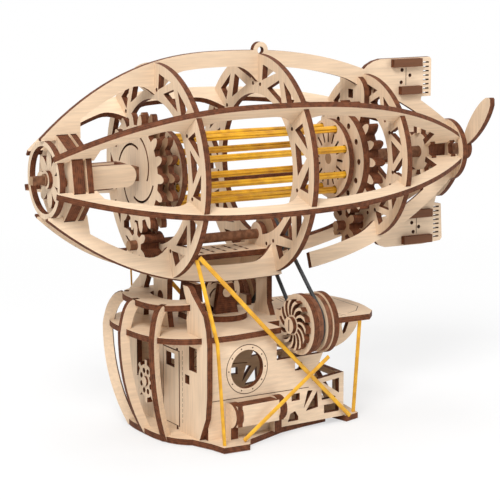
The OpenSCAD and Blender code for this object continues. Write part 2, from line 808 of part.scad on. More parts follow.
module layshaft_gear()
    color(wood) translate([0, 0, lay_z]) plate_x(gear_x - 0.5, 3 * ply + 1) difference() {
        rotate(30) gear_outline(pinion_teeth);
        circle(axle_r);
    }

module winding_pinion()
    color(dark) translate([0, 0, lay_z]) {
        plate_x(rear_gear_x, 2 * ply) difference() {
            intersection() {
                rotate(30) gear_outline(pinion_teeth);
                circle(winding_r);
            }
            circle(axle_r);
        }
        translate([0, 0, -lay_z]) bar_x(rear_gear_x - 5, ring_rear_x + half + ply + 1.5, axle_r, 0, lay_z);
    }

// Rims and core of a pulley with its groove's middle on each listed x.
module pulley(grooves, belt_line, rim, x0, x1, y, z) {
    core = belt_line - belt_r - belt_gap;
    difference() {
        bar_x(x0, x1, rim, y, z);
        for (g = grooves) difference() {
            bar_x(g - belt_r - belt_gap, g + belt_r + belt_gap, rim + 1, y, z);
            bar_x(g - 2 * belt_r, g + 2 * belt_r, core, y, z);
        }
        bar_x(x0 - 1, x1 + 1, axle_r, y, z);
    }
}

module hull_pulley()
    color(dark) pulley([belt_near_x, belt_far_x], hull_belt_r, hull_belt_r + 1.2,
        hull_pulley_x0, hull_pulley_x1, 0, lay_z);

// Nacelles

// A fan of curved spokes with free ends and a slotted hub cap.
module fan_wheel(belt_x, y)
    color(wood) translate([0, y, nacelle_z]) {
        plate_x(fan_x(belt_x)) difference() {
            union() {
                circle(5.2);
                for (k = [0 : fan_spokes - 1]) rotate(k * 360 / fan_spokes)
                    polygon(concat([for (t = steps(0, 1, 5)) curl(t, 0)],
                        [for (t = steps(1, 0, 5)) curl(t, 7 + 5 * t)]));
            }
            circle(axle_r);
        }
        plate_x(fan_x(belt_x) - 2, 2) difference() {
            circle(4.2);
            square([0.9, 6], center = true);
        }
    }
function curl(t, a) = (4.5 + (fan_r - 4.5) * t) * [cos(24 * t * t + a), sin(24 * t * t + a)];

function front_plate_x(belt_x) = belt_x - drum_half - side_gap - ply;
function back_plate_x(belt_x) = belt_x + drum_half + side_gap;
function fan_x(belt_x) = front_plate_x(belt_x) - side_gap - ply;

// The drum that the belt turns, with the axle through both bearing plates.
module nacelle_pulley(belt_x, y)
    color(dark) {
        pulley([belt_x], nacelle_belt_r, nacelle_rim_r,
            belt_x - drum_half, belt_x + drum_half, y, nacelle_z);
        bar_x(fan_x(belt_x), back_plate_x(belt_x) + ply + 2, axle_r, y, nacelle_z);
    }

module nacelle_fan_near() fan_wheel(belt_near_x, -nacelle_y);
module nacelle_fan_far() fan_wheel(belt_far_x, nacelle_y);
module nacelle_pulley_near() nacelle_pulley(belt_near_x, -nacelle_y);
module nacelle_pulley_far() nacelle_pulley(belt_far_x, nacelle_y);

// Two bearing plates to each nacelle, lapped into the deck's edge.
module nacelle_brackets()
    color(wood) for (s = [[-1, belt_near_x], [1, belt_far_x]],
        x0 = [front_plate_x(s[1]), back_plate_x(s[1])])
        plate_x(x0) scale_y(s[0]) difference() {
            union() {
                translate([nacelle_y, nacelle_z]) circle(plate_r);
                translate([deck_half - lap_in, nacelle_z - plate_r])
                    square([nacelle_y - deck_half, plate_r + 4]);
            }
            translate([0, deck_under - slot_gap])
                square([deck_half, ply + 2 * slot_gap]);
            translate([nacelle_y, nacelle_z]) circle(axle_r + run_gap);
        }
module scale_y(s) if (s < 0) mirror([1, 0]) children(); else children();

// A belt of round section on its two pulleys, as one closed tube.
module belt(x, y) {
    dz = nacelle_z - lay_z;
    dist = sqrt(y * y + dz * dz);
    dir = atan2(dz, y);
    lean = asin((hull_belt_r - nacelle_belt_r) / dist);
    arc_a = [for (i = [0 : 14]) dir + 90 + (-lean) + (180 + 2 * lean) * i / 14];
    arc_b = [for (i = [0 : 18]) dir - 90 + lean + (180 - 2 * lean) * i / 18];
    path_a = [for (a = arc_a) hull_belt_r * [cos(a), sin(a)]];
    path_b = [for (a = arc_b) [y, dz] + nacelle_belt_r * [cos(a), sin(a)]];
    run_a = [for (t = steps(0, 1, 8)) if (t > 0 && t < 1) path_a[14] * (1 - t) + path_b[0] * t];
    run_b = [for (t = steps(0, 1, 8)) if (t > 0 && t < 1) path_b[18] * (1 - t) + path_a[0] * t];
    tube(concat(path_a, run_a, path_b, run_b), x, lay_z);
}

// Rings of eight points round each place of a closed path in Y and Z.
module tube(path, x, z) {
    n = len(path);
    sides = 8;
    points = [for (i = [0 : n - 1]) let (
        along = path[(i + 1) % n] - path[(i + n - 1) % n],
        out = [along[1], -along[0]] / norm(along))
        for (k = [0 : sides - 1])
            [x + belt_r * sin(k * 360 / sides),
             path[i][0] + out[0] * belt_r * cos(k * 360 / sides),
             z + path[i][1] + out[1] * belt_r * cos(k * 360 / sides)]];
    faces = [for (i = [0 : n - 1], k = [0 : sides - 1])
        [i * sides + k, i * sides + (k + 1) % sides,
         ((i + 1) % n) * sides + (k + 1) % sides, ((i + 1) % n) * sides + k]];
    polyhedron(points, faces);
}

module belt_near() color(black) belt(belt_near_x, -nacelle_y);
module belt_far() color(black) belt(belt_far_x, nacelle_y);

// Between hull and gondola

// The front pillar stands on the main deck behind the front ring.
module front_pillar()
    color(wood) plate_x(pillar_x) difference() {
        translate([0, deck_top]) polygon([[-9, 0], [9, 0], [7, 8.5], [8, pillar_h],
            [-8, pillar_h], [-7, 8.5]]);
        translate([0, deck_top + 14.5]) circle(3);
    }

// The rear strut stands on the deck and laps the middle ring's rear face.
module rear_strut()
    color(wood) plate_x(half) translate([0, deck_top])
        polygon([[-9, 0], [9, 0], [strut_half, 6], [strut_half, strut_h],
            [-strut_half, strut_h], [-strut_half, 6]]);

// A spoked wheel on its own stand under the hull.
module spoked_wheel()
    color(wood) translate([wheel_x, 0, wheel_z]) {
        plate_y(0) difference() {
            circle(wheel_r);
            circle(axle_r);
            arc_slots(4.5, wheel_r - 1.8, 7, 35);
        }
        rotate([90, 0, 0]) cylinder(h = 12, r = axle_r, center = true);
    }

// Decks

// A closed outline from its half with positive second values.
function both(p, across = false) = concat(p, [for (i = [len(p) - 1 : -1 : 0])
    across ? [-p[i][0], p[i][1]] : [p[i][0], -p[i][1]]]);

// Half of a full bow, from its front point round to its side.
function bow(x0, size) = [for (a = steps(1, 90, 22))
    [x0 - size[0] * pow(cos(a), 2 / bow_power), size[1] * pow(sin(a), 2 / bow_power)]];
// Distance from a bow's middle to its edge, at an angle from the middle plane.
function reach(size, a) = pow(pow(cos(a) / size[0], bow_power)
    + pow(abs(sin(a)) / size[1], bow_power), -1 / bow_power);
// The same distance on the upper deck, but measured from the main deck's middle.
function upper_reach(a) = a == 0 ? bow_x - upper_x + upper_bow[0] : upper_side_reach;

// The main deck's outline in X and Y.
module deck_outline()
    polygon(both(concat(bow(bow_x, deck_bow), [[notch_x0, deck_waist], [notch_x0, deck_half],
        [notch_x1, deck_half], [notch_x1 + 2.5, deck_rear], [48, deck_rear], [54, 24],
        [57, 12], [deck_end, 5]])));

// The deck carries a round base and two cheeks for the spoked wheel, and a plate before it.
module main_deck()
    color(wood) union() {
        plate_z(deck_under) difference() {
            deck_outline();
            for (k = [0 : 5]) translate([vent_x + vent_step * k, -vent_half])
                square([vent_w, 2 * vent_half]);
            bow_slots();
        }
        translate([wheel_x, 0, deck_top - 1]) cylinder(h = ply + 1, r = base_r);
        translate([wheel_x, 0, 0]) for (s = [-1, 1]) plate_y(s * cheek_y) difference() {
            polygon([[-7, deck_top + 1], [7, deck_top + 1], [4, wheel_z + 4.5], [-4, wheel_z + 4.5]]);
            translate([0, wheel_z]) circle(axle_r + run_gap);
        }
        plate_x(screen_x) translate([0, deck_top - 1]) difference() {
            polygon([[-12, 0], [12, 0], [8, 21], [-8, 21]]);
            for (s = [-1, 1]) polygon([[s * 1.5, 4], [s * 8.6, 4], [s * 1.5, 17]]);
        }
    }

// Slots in the deck's edge for the bow ribs and the bulkhead's wings.
module bow_slots() {
    rib_slots_in(deck_bow);
    for (s = [-1, 1]) translate([bulkhead_x - half - slot_gap, s * (deck_bow[1] - 2) - 5])
        square([ply + 2 * slot_gap, 10]);
}

// Slots for the three bow ribs in the edge of a bow.
module rib_slots_in(size)
    for (a = [-bow_rib_turn, 0, bow_rib_turn]) translate([bow_x, 0]) rotate(a)
        translate([-reach(size, a) - 5, -half - slot_gap]) square([8, ply + 2 * slot_gap]);

// The inner edge of the upper deck, for a bow of size 1.
inner_bow = [for (a = steps(88, 2, 12)) [pow(cos(a), 2 / bow_power), pow(sin(a), 2 / bow_power)]];

// The upper deck is a curved strip round the bow, open to the rear.
module upper_deck()
    color(wood) plate_z(upper_under) difference() {
        polygon(both(concat(bow(upper_x, upper_bow), [[upper_x + 2, upper_bow[1]],
            [upper_x + 2, upper_bow[1] - upper_w]],
            [for (p = inner_bow) [upper_x - (upper_bow[0] - upper_w) * p[0],
                (upper_bow[1] - upper_w) * p[1]]])));
        for (a = [-bow_rib_turn, 0, bow_rib_turn]) translate([bow_x, 0]) rotate(a)
            translate([-60, -half - slot_gap])
                square([60 - upper_reach(a) + 3, ply + 2 * slot_gap]);
        for (s = [-1, 1]) translate([bulkhead_x - half - slot_gap, s * (upper_bow[1] + 2) - 6])
            square([ply + 2 * slot_gap, 12]);
    }

// Curves of a bow rib: X is the distance from the bow's middle, Y the height.
function bend(a, b, c, t) = a * (1 - t) * (1 - t) + 2 * b * t * (1 - t) + c * t * t;
function rib_top_curve(a) = [[upper_reach(a) + 1, upper_top],
    [reach(deck_bow, a) + 1, upper_top - 1], [reach(deck_bow, a) + 3.2, deck_top - 2]];
function rib_low_curve(a) = [[reach(deck_bow, a) + 3.2, deck_top - 2],
    [reach(deck_bow, a) + 3.5, 24], [reach(floor_bow, a) - slot_gap, 0.01]];
function on_curve(c, t) = bend(c[0], c[1], c[2], t);
module bow_rib_outline(a)
    difference() {
        polygon(concat([for (t = steps(0, 1, 8)) on_curve(rib_top_curve(a), t)],
            [for (t = steps(0.1, 1, 8)) on_curve(rib_low_curve(a), t)],
            [for (t = steps(1, 0.1, 8)) on_curve(rib_low_curve(a), t) - [rib_side, 0]],
            [for (t = steps(1, 0, 8)) on_curve(rib_top_curve(a), t) - [rib_side, ply]]));
        translate([0, deck_under - slot_gap])
            square([reach(deck_bow, a) - 2, ply + 2 * slot_gap]);
        translate([0, upper_under - slot_gap])
            square([upper_reach(a) - 2, ply + 2 * slot_gap]);
        translate([0, -1]) square([reach(floor_bow, a) - 2, floor_top + 1 + slot_gap]);
    }

module cabin_ribs()
    color(wood) for (a = [-bow_rib_turn, 0, bow_rib_turn])
        translate([bow_x, 0, 0]) rotate([0, 0, a]) mirror([1, 0, 0])
            plate_y(0) bow_rib_outline(a);

// Cabin

// Half of the bulkhead's outline in Y and Z, with a wing that curves up to the hull.
bulkhead_half = [[36, floor_top], [42.5, floor_top + 12], [44, 26], [44.3, deck_under],
    [43.2, deck_top + 4], [40.5, 66], [34.5, 70.5], [29, 74.5], [26, 77.5], [24.5, 78.2],
    [19.5, 78.2], [20.5, 75], [23, 70.5], [24, upper_under], [23, 61], [24, deck_top], [24, deck_under]];

module bulkhead()
    color(wood) plate_x(bulkhead_x - half) difference() {
        polygon(both(bulkhead_half, true));
        for (s = [-1, 1]) scale_y(s) {
            translate([20, deck_under - slot_gap])
                square([deck_bow[1] - 22.8, ply + 2 * slot_gap]);
            translate([20, upper_under - slot_gap])
                square([upper_bow[1] - 20 + slot_gap, ply + 2 * slot_gap]);
        }
        translate([door_y[0] - 2 * door_gap, floor_top + 2])
            square([door_y[1] - door_y[0] + 3 * door_gap, door_z1 - floor_top]);
        for (z = [floor_top, door_z1 + 1]) translate([door_y[0] + half, z])
            square([2 * hinge_r + 2 * run_gap, 4], center = true);
        translate([helm_y, helm_z]) circle(axle_r + run_gap);
        translate([-33.5, 36.5]) square([8, 12]);
        translate([-25.8, 29]) square([4.6, 4.5]);
        translate([14, 22.5]) square([18, 20]);
    }

// The cabin door turns on two pins at its near edge in the bulkhead's opening.
module cabin_door()
    color(wood) {
        plate_x(bulkhead_x - half) difference() {
            translate([door_y[0], floor_top + 2.4])
                square([door_y[1] - door_y[0], door_z1 - floor_top - 1]);
            translate([-10, 34.5]) square([9, 7]);
        }
        translate([bulkhead_x, door_y[0] + half, floor_top + 0.8])
            cylinder(h = door_z1 - floor_top + 2, r = hinge_r);
    }

// The floor with its full bow, two wings for the stays and two feet at the rear.
module floor_plate()
    color(wood) plate_z(0) difference() {
        polygon(both(concat([for (p = bow(bow_x, floor_bow)) if (p[0] < -56) p],
            [[-52.3, 44.7], [-50.5, 54], [-36, 54], [-31.5, 46.3], [-6.6, 34.2], [9, 30],
                [24, 27], [30, 16.8], [33.5, 32.4], [42.6, 29], [45.5, 11], [45, 4]])));
        for (a = [-bow_rib_turn, 0, bow_rib_turn]) translate([bow_x, 0]) rotate(a)
            translate([-reach(floor_bow, a) - 5, -half - slot_gap])
                square([7 + slot_gap, ply + 2 * slot_gap]);
        for (s = [-1, 1]) translate([38, s * 8]) circle(2.2);
    }

// A flat shape drawn along a side panel and in Z, with its outer face d outside the panel's.
module on_side(s, d, t)
    translate([bulkhead_x + half, s * side_y, 0]) rotate([0, 0, -s * side_turn])
        translate([0, s * (d - t / 2), 0]) plate_y(0, t) children();

// Side panels between floor and deck; each runs on to the rear as an open truss.
module side_panels()
    color(wood) for (s = [-1, 1]) on_side(s, 0, ply) difference() {
        polygon([[0.4, floor_top], [0.4, deck_under], [42, deck_under], [42, sill_z],
            [71, sill_z], [64.3, truss_z[0]], [side_len, truss_z[1]], [side_len, floor_top]]);
        translate([port_u, port_z]) circle(port_r);
        translate([53.4, 31]) square([4.5, 4]);
        translate([51.3, 15.4]) square([5.2, 3.7]);
        polygon([[61.5, 19.6], [64.6, 19.2], [59, 10.6]]);
        polygon([[67.6, 18.6], [68.2, 10], [60.4, 9]]);
        polygon([[71.2, 22.4], [81.6, 23.4], [81.6, 15.6]]);
        polygon([[70.4, 19.2], [79.8, 13.6], [70.6, 13.2]]);
        polygon([[72, 10.4], [81.6, 10.4], [81.6, 6], [72, 6]]);
        polygon([[49, 5], [50.6, 9], [53.6, 10], [55.6, 7], [55.6, 5]]);
    }

// The helm wheel in the bow, with its axle through the bulkhead.
module helm_wheel()
    color(wood) translate([0, helm_y, helm_z]) {
        plate_x(helm_x - half) difference() {
            union() {
                circle(helm_r - 2.5);
                for (k = [0 : 7]) rotate(k * 45) translate([-1.2, 0]) square([2.4, helm_r]);
            }
            for (k = [0 : 7]) rotate(k * 45 + 22.5) translate([5.5, 0]) circle(1.4);
            circle(axle_r);
        }
        bar_x(helm_x - half - 1, bulkhead_x + half + 2, axle_r, 0, 0);
    }

// A tank before the near side panel: two rounded ends on feet with boards between them.
module floor_tank()
    color(wood) translate([bulkhead_x + half, -side_y, 0]) rotate([0, 0, side_turn]) {
        for (u = [tank_u[0], tank_u[1] - tank_end]) plate_x(u, tank_end) {
            difference() {
                translate([-tank_out, tank_z]) circle(tank_r);
                translate([-tank_gap, 0]) square([tank_r, 2 * tank_z]);
            }
            translate([-tank_out - tank_foot / 3, floor_top]) square([tank_foot, tank_z - floor_top]);
        }
        translate([tank_u[0] + half, -tank_out - tank_r + 1, 0]) {
            translate([0, 0, tank_z - tank_r + 1])
                cube([tank_u[1] - tank_u[0] - ply, 2, 2 * tank_r - 2]);
            translate([0, 0, tank_z + tank_r - 3])
                cube([tank_u[1] - tank_u[0] - ply, tank_out + 4, 2]);
        }
    }

// Rear

// A truss plate across the rear, and two rounded plates under the deck's rear end.
module rear_frame()
    color(wood) {
        plate_x(cross_x) difference() {
            translate([-cross_half, floor_top])
                square([2 * cross_half, truss_z[1] - floor_top]);
            for (s = [-1, 1]) scale_y(s) {
                polygon([[3, 6], [cross_half - 6, 6], [3, truss_z[1] - 5]]);
                polygon([[cross_half - 3, 9], [cross_half - 3, truss_z[1] - 3],
                    [6, truss_z[1] - 3]]);
            }
        }
        for (s = [-1, 1]) plate_y(s * fairing_y) difference() {
            polygon(concat([[fairing_x - 4, deck_under], [fairing_x - 4, deck_under - fairing_h]],
                [for (a = steps(-90, 0, 10)) [fairing_x + (deck_end - 1 - fairing_x) * cos(a),
                    deck_under + fairing_h * sin(a)]]));
            translate([45, deck_under - 4])
                polygon([[0, 0], [7, 1], [5, -2], [3, -7], [1.5, -8]]);
        }
    }

// Stays

// A flat yellow band between two points.
module strip(p, q) {
    d = q - p;
    flat = sqrt(d[0] * d[0] + d[1] * d[1]);
    translate(p) rotate([0, 0, atan2(d[1], d[0])]) rotate([0, -atan2(d[2], flat), 0])
        translate([0, -stay[1] / 2, -stay[0] / 2]) cube([norm(d), stay[1], stay[0]]);
}

// Stays of rubber band from the hull to the floor's wings and feet, alike on both sides.
module stays()
    color(yellow) for (s = [-1, 1]) {
        belt_x = s < 0 ? belt_near_x : belt_far_x;
        strip([-55.8, s * 36.5, axis_h - 39], [-49.7, s * 46, 53]);
        strip([-49.7, s * 46, 53], [-48.4, s * 50.5, floor_top]);
        strip([-55.4, s * 38.8, axis_h - 37.5], [-19.5, s * 41.5, 56]);
        strip([-19.5, s * 41.5, 56], [35.5, s * 32.2, floor_top]);
        strip([-37.5, s * 50.5, floor_top + 1.1], [back_plate_x(belt_x) + 2, s * 47.8, 40]);
        strip([44.5, s * 27, deck_under - 0.1], [41, s * 27, floor_top + 0.1]);
    }

rib_top();
rib_upper_near();
rib_upper_far();
rib_lower_near();
rib_lower_far();
keel_rib_near_front();
keel_rib_near_rear();
keel_rib_far_front();
keel_rib_far_rear();
ring_front();
ring_middle();
ring_rear();
nose_hoop();
nose_plates();
shaft_box();
tail_box();
tail_hoop();
fin_upper();
fin_lower();
fin_battens();
cap_plate();
key_socket();
cross_bracket();
hook_bracket();
keel_boards();
nose_fan();
front_shaft();
drive_gear_front();
drive_gear_back();
band_disc_front();
rubber_bands();
band_drum_rear();
rear_gear();
rear_shaft();
propeller();
layshaft();
layshaft_gear();
hull_pulley();
winding_pinion();
nacelle_fan_near();
nacelle_pulley_near();
nacelle_fan_far();
nacelle_pulley_far();
nacelle_brackets();
belt_near();
belt_far();
front_pillar();
rear_strut();
spoked_wheel();
main_deck();
upper_deck();
cabin_ribs();
bulkhead();
cabin_door();
floor_plate();
side_panels();
helm_wheel();
floor_tank();
rear_frame();
stays();
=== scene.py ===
import math
import bpy
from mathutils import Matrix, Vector


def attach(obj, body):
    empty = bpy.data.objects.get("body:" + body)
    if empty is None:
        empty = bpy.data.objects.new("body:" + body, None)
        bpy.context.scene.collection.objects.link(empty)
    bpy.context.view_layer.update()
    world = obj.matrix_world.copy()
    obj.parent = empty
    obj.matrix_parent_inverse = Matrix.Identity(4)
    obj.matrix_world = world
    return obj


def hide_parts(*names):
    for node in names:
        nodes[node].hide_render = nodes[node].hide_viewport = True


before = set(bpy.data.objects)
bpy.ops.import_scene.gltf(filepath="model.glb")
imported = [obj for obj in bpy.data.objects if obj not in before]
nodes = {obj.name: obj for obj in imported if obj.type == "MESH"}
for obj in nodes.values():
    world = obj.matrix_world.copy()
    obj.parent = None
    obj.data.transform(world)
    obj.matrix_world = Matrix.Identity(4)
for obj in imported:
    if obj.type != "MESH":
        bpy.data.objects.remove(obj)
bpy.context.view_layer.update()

# Hull ribs: long curved strips of 3 mm birch plywood, cut by laser and slotted
# into the rings in planes through the hull's axis. The faces are pale with a
# fine grain. The cut walls are burnt brown, with the plywood's layers showing.


def calc(tree, operation, *values):
    """Add a number node to a shader tree and return its result."""
    node = tree.nodes.new("ShaderNodeMath")
    node.operation = operation
    for slot, value in zip(node.inputs, values):
        if isinstance(value, bpy.types.NodeSocket):
            tree.links.new(value, slot)
        else:
            slot.default_value = value
    return node.outputs[0]


def vector(tree, operation, *values):
    """Add a vector node to a shader tree and return its result."""
    node = tree.nodes.new("ShaderNodeVectorMath")
    node.operation = operation
    for slot, value in zip(node.inputs, values):
        if isinstance(value, bpy.types.NodeSocket):
            tree.links.new(value, slot)
        else:
            slot.default_value = value
    return node.outputs["Value" if operation in ("DOT_PRODUCT", "LENGTH") else "Vector"]


def noise(tree, place, scale, detail):
    """Add a noise texture and return its value."""
    node = tree.nodes.new("ShaderNodeTexNoise")
    node.inputs["Scale"].default_value = scale
    node.inputs["Detail"].default_value = detail
    tree.links.new(place, node.inputs["Vector"])
    return node.outputs["Fac"]


def spread(tree, value, low, high, bottom, top):
    """Map a value from low..high to bottom..top, held at both ends."""
    node = tree.nodes.new("ShaderNodeMapRange")
    for socket, number in (("From Min", low), ("From Max", high),
                           ("To Min", bottom), ("To Max", top)):
        node.inputs[socket].default_value = number
    tree.links.new(value, node.inputs["Value"])
    return node.outputs["Result"]


def blend_colours(tree, share, first, second):
    """Mix two colours and return the result."""
    node = tree.nodes.new("ShaderNodeMix")
    node.data_type = "RGBA"
    tree.links.new(share, node.inputs[0])
    tree.links.new(first, node.inputs[6])
    tree.links.new(second, node.inputs[7])
    return node.outputs[2]


def new_group(name, inputs, outputs):
    """Start a shader node group with named inputs and outputs."""
    tree = bpy.data.node_groups.new(name, "ShaderNodeTree")
    for label, kind, value in inputs:
        tree.interface.new_socket(name=label, in_out="INPUT",
                                  socket_type="NodeSocket" + kind).default_value = value
    for label, kind in outputs:
        tree.interface.new_socket(name=label, in_out="OUTPUT", socket_type="NodeSocket" + kind)
    return tree, tree.nodes.new("NodeGroupInput").outputs, tree.nodes.new("NodeGroupOutput").inputs


ply, given, result = new_group("birch_ply", (
    ("Sheet Normal", "Vector", (1, 0, 0)), ("Second Normal", "Vector", (0, 0, 0)),
    ("Third Normal", "Vector", (0, 0, 0)), ("Second Share", "Float", 1.0),
    ("Grain", "Vector", (60, 800, 800)), ("Layers", "Float", 1.0), ("Engraving", "Float", 0.0),
    ("Face Colour", "Color", (0.78, 0.585, 0.41, 1)),
    ("Edge Colour", "Color", (0.085, 0.03, 0.015, 1))),
    (("Colour", "Color"), ("Roughness", "Float"), ("Height", "Float")))
coord = ply.nodes.new("ShaderNodeTexCoord").outputs
first, second, third = (calc(ply, "ABSOLUTE",
                             vector(ply, "DOT_PRODUCT", coord["Normal"], given[label]))
                        for label in ("Sheet Normal", "Second Normal", "Third Normal"))
facing = calc(ply, "MAXIMUM", calc(ply, "MAXIMUM", first, third),
              calc(ply, "MULTIPLY", second, given["Second Share"]))
is_face = spread(ply, facing, low=0.955, high=0.985, bottom=0.0, top=1.0)
streaks = noise(ply, vector(ply, "MULTIPLY", coord["Object"], given["Grain"]),
                scale=1.0, detail=5.0)
clouds = noise(ply, coord["Object"], scale=26.0, detail=2.0)
tone = calc(ply, "MULTIPLY", spread(ply, streaks, low=0.32, high=0.72, bottom=1.04, top=0.86),
            spread(ply, clouds, low=0.3, high=0.7, bottom=1.05, top=0.93))
pale = vector(ply, "MULTIPLY", given["Face Colour"], tone)
LAYER_PITCH = 0.001
LAYER_CONTRAST = 0.22
depth = calc(ply, "MULTIPLY", vector(ply, "DOT_PRODUCT", coord["Object"], given["Sheet Normal"]),
             2 * math.pi / LAYER_PITCH)
layer = calc(ply, "MULTIPLY", calc(ply, "SINE", depth), given["Layers"])
soot = noise(ply, coord["Object"], scale=420.0, detail=3.0)
burn = calc(ply, "ADD", spread(ply, soot, low=0.35, high=0.65, bottom=0.72, top=1.45),
            calc(ply, "MULTIPLY", layer, LAYER_CONTRAST))
brown = vector(ply, "MULTIPLY", given["Edge Colour"], burn)
wall_or_face = blend_colours(ply, is_face, brown, pale)
scorch = ply.nodes.new("ShaderNodeRGB")
scorch.outputs[0].default_value = (0.06, 0.022, 0.01, 1)
engraved = calc(ply, "MULTIPLY", given["Engraving"], is_face)
ply.links.new(blend_colours(ply, engraved, wall_or_face, scorch.outputs[0]), result["Colour"])
ply.links.new(spread(ply, is_face, low=0.0, high=1.0, bottom=0.74, top=0.6),
              result["Roughness"])
ply.links.new(calc(ply, "SUBTRACT", streaks, engraved), result["Height"])

PALE = (0.8, 0.61, 0.43)
BURNT = (0.115, 0.037, 0.015)


def wood(name, sheet, second=(0, 0, 0), third=(0, 0, 0), grain=(60, 800, 800), layers=1.0,
         face=PALE, edge=BURNT, engraving=None, second_share=None):
    """Make a plywood material for pieces cut from sheet whose faces point along sheet.

    Pieces of a node that face other ways have those in second and third. The
    functions engraving and second_share build a mask in the material's own tree.
    """
    made = bpy.data.materials.new(name)
    made.use_nodes = True
    tree = made.node_tree
    shader = tree.nodes["Principled BSDF"]
    group = tree.nodes.new("ShaderNodeGroup")
    group.node_tree = ply
    group.inputs["Sheet Normal"].default_value = sheet
    group.inputs["Second Normal"].default_value = second
    group.inputs["Third Normal"].default_value = third
    group.inputs["Grain"].default_value = grain
    group.inputs["Layers"].default_value = layers
    group.inputs["Face Colour"].default_value = (*face, 1)
    group.inputs["Edge Colour"].default_value = (*edge, 1)
    if engraving:
        tree.links.new(engraving(tree), group.inputs["Engraving"])
    if second_share:
        tree.links.new(second_share(tree), group.inputs["Second Share"])
    shader.inputs["Specular IOR Level"].default_value = 0.22
    bump = tree.nodes.new("ShaderNodeBump")
    bump.inputs["Strength"].default_value = 0.25
    bump.inputs["Distance"].default_value = 0.0002
    tree.links.new(group.outputs["Height"], bump.inputs["Height"])
    tree.links.new(group.outputs["Colour"], shader.inputs["Base Color"])
    tree.links.new(group.outputs["Roughness"], shader.inputs["Roughness"])
    tree.links.new(bump.outputs["Normal"], shader.inputs["Normal"])
    return made


def finish(material, *names):
    """Give CAD nodes this material."""
    for name in names:
        nodes[name].data.materials.clear()
        nodes[name].data.materials.append(material)


rib_turn = math.radians(53.53)
for step, names in ((0, ["rib_top"]), (1, ["rib_upper_near"]), (-1, ["rib_upper_far"]),
                    (2, ["rib_lower_near"]), (-2, ["rib_lower_far"]),
                    (3, ["keel_rib_near_front", "keel_rib_near_rear"]),
                    (-3, ["keel_rib_far_front", "keel_rib_far_rear"])):
    turn = step * rib_turn
    finish(wood("ply_" + names[0], (0, math.cos(turn), math.sin(turn))), *names)

# Rings, hoops and the plates that stand across the hull: birch plywood, cut with
# triangular windows, pushed onto the ribs and held by slots.
ply_across = wood("ply_across", (1, 0, 0), grain=(800, 800, 60))
finish(ply_across, "ring_front", "ring_middle", "ring_rear", "nose_hoop", "nose_plates",
       "tail_box", "tail_hoop", "cap_plate", "key_socket", "cross_bracket", "hook_bracket")
finish(wood("ply_shaft_box", (0, 1, 0)), "shaft_box")
finish(wood("ply_keel", (0, 0, 1)), "keel_boards")

# Tail fins: upright plates with an engraved line and dark battens glued on their
# faces, slotted into the tail.
AXIS = 0.1325
LINE_HALF_WIDTH = 0.0002


def line_group():
    """Build the shader group that masks a thin engraved line between two points."""
    tree, into, out = new_group("engraved_line", (
        ("Point", "Vector", (0, 0, 0)), ("Start", "Vector", (0, 0, 0)),
        ("End", "Vector", (1, 0, 0)), ("Half Width", "Float", LINE_HALF_WIDTH)),
        (("Mask", "Float"),))
    run = vector(tree, "SUBTRACT", into["End"], into["Start"])
    off = vector(tree, "SUBTRACT", into["Point"], into["Start"])
    share = calc(tree, "DIVIDE", vector(tree, "DOT_PRODUCT", off, run),
                 vector(tree, "DOT_PRODUCT", run, run))
    share.node.use_clamp = True
    gap = vector(tree, "LENGTH",
                 vector(tree, "SUBTRACT", off, vector(tree, "MULTIPLY", run, share)))
    tree.links.new(calc(tree, "LESS_THAN", gap, into["Half Width"]), out["Mask"])
    return tree


line_mask = line_group()


def lines(tree, point, pairs):
    """Return one mask of all the straight lines in pairs."""
    total = None
    for start, end in pairs:
        group = tree.nodes.new("ShaderNodeGroup")
        group.node_tree = line_mask
        tree.links.new(point, group.inputs["Point"])
        group.inputs["Start"].default_value = (*start, 0)
        group.inputs["End"].default_value = (*end, 0)
        mask = group.outputs["Mask"]
        total = calc(tree, "MAXIMUM", total, mask) if total else mask
    return total


def flat_point(tree, across, up):
    """Return a point in the plane of a sheet, made of two of the object's axes."""
    split = tree.nodes.new("ShaderNodeSeparateXYZ")
    tree.links.new(tree.nodes.new("ShaderNodeTexCoord").outputs["Object"], split.inputs[0])
    join = tree.nodes.new("ShaderNodeCombineXYZ")
    tree.links.new(split.outputs[across], join.inputs[0])
    tree.links.new(split.outputs[up], join.inputs[1])
    return join.outputs[0]


def fin_line(x, low, high):
    """Return what masks an upright line on a fin, with its ends measured from the axis."""
    def mask(tree):
        return lines(tree, flat_point(tree, "X", "Z"), [((x, AXIS + low), (x, AXIS + high))])
    return mask


finish(wood("ply_fin_upper", (0, 1, 0), engraving=fin_line(0.0885, 0.036, 0.045)), "fin_upper")
finish(wood("ply_fin_lower", (0, 1, 0), engraving=fin_line(0.0965, -0.044, -0.034)), "fin_lower")
finish(wood("ply_battens", (0, 1, 0), face=(0.16, 0.065, 0.03)), "fin_battens")

# Band motor: fan, gears, discs and propeller of birch plywood, pushed onto two
# wooden shafts. The second ply of the front gear, the winding pinion and the belt
# pulley in the hull are cut from browned sheet.
finish(ply_across, "nose_fan", "drive_gear_front", "band_disc_front", "band_drum_rear",
       "rear_gear", "propeller")
finish(wood("ply_browned", (1, 0, 0), grain=(800, 800, 60), face=(0.42, 0.26, 0.15)),
       "drive_gear_back", "winding_pinion", "hull_pulley")
finish(wood("rod_wood", (1, 0, 0), layers=0.0, face=(0.4, 0.24, 0.13), edge=(0.16, 0.07, 0.035)),
       "front_shaft", "rear_shaft", "layshaft")

# Rubber bands of the motor: eight bundles of yellow rubber between the pegs of
# the front disc and of the rear drum. Each bundle has five strands, which lie
# close together and are not quite straight.
BAND_RING = 0.017
BAND_ENDS = (-0.055, 0.0445)
BUNDLES, STRANDS, BAND_STEPS = 8, 5, 16
STRAND_RING = 0.00112
STRAND_WIDTH = 0.0014
SWAY = 0.00013


